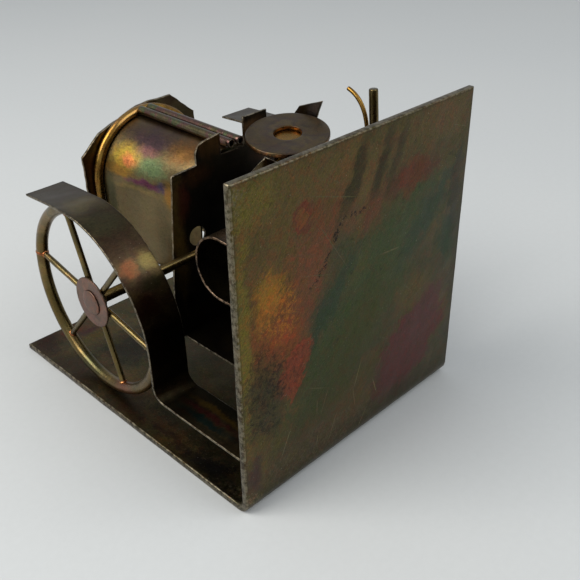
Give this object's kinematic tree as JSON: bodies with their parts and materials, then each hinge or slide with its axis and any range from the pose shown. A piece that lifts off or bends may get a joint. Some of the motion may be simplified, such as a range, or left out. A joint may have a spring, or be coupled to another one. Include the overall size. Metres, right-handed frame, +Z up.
{
  "type": "veteran car bookend",
  "caption": "Front half of a veteran car in bent sheet metal and rod, soldered to an L-shaped bookend stand, with turning spoked front wheels.",
  "frame": {"origin": "middle of the stand's underside", "axes": "+Z up, -Y towards the front of the car, +X towards the car's left side"},
  "size_m": [0.1016, 0.1278, 0.1096],
  "materials": {
    "stand_plate": "heat-coloured plate, bronze with gold, teal and magenta bands, fine scratches",
    "body_sheet": "heat-coloured thin sheet, dark bronze with copper and gold patches",
    "hood_sheet": "heat-coloured thin sheet, beige with gold, green and pink bands",
    "dark_sheet": "almost black heat-coloured sheet",
    "rod": "heat-coloured rod, olive bronze",
    "brass_rod": "brassy gold rod, satin",
    "copper_trim": "dull pink copper",
    "washer": "purple-brown heat-coloured washer"
  },
  "bodies": {
    "car": {"stand": "stand_plate", "left_fender": "body_sheet", "right_fender": "body_sheet", "axle": "rod", "left_axle_cap": "copper_trim", "right_axle_cap": "copper_trim", "left_chassis_rail": "rod", "right_chassis_rail": "rod", "radiator": "body_sheet", "hood_arch": "brass_rod", "hood": "hood_sheet", "left_hinge_tube": "rod", "right_hinge_tube": "rod", "firewall": "dark_sheet", "cowl_wing": "body_sheet", "floor": "dark_sheet", "cross_rod": "rod", "seat_cushion": "dark_sheet", "seat_back": "body_sheet", "steering_wheel": "washer", "steering_column": "brass_rod", "brake_lever": "rod", "gear_lever": "brass_rod"},
    "left_wheel": {"left_wheel_rim": "rod", "left_wheel_spokes": "rod", "left_hub_bush": "rod", "left_hub_disc": "copper_trim"},
    "right_wheel": {"right_wheel_rim": "rod", "right_wheel_spokes": "rod", "right_hub_bush": "rod", "right_hub_disc": "copper_trim"}
  },
  "joints": [
    {"name": "left_wheel_spin", "type": "hinge", "parent": "car", "child": "left_wheel", "pos_m": [0.0432, -0.0193, 0.0385], "axis": [1, 0, 0], "continuous": true},
    {"name": "right_wheel_spin", "type": "hinge", "parent": "car", "child": "right_wheel", "pos_m": [-0.0432, -0.0193, 0.0385], "axis": [1, 0, 0], "continuous": true}
  ]
}
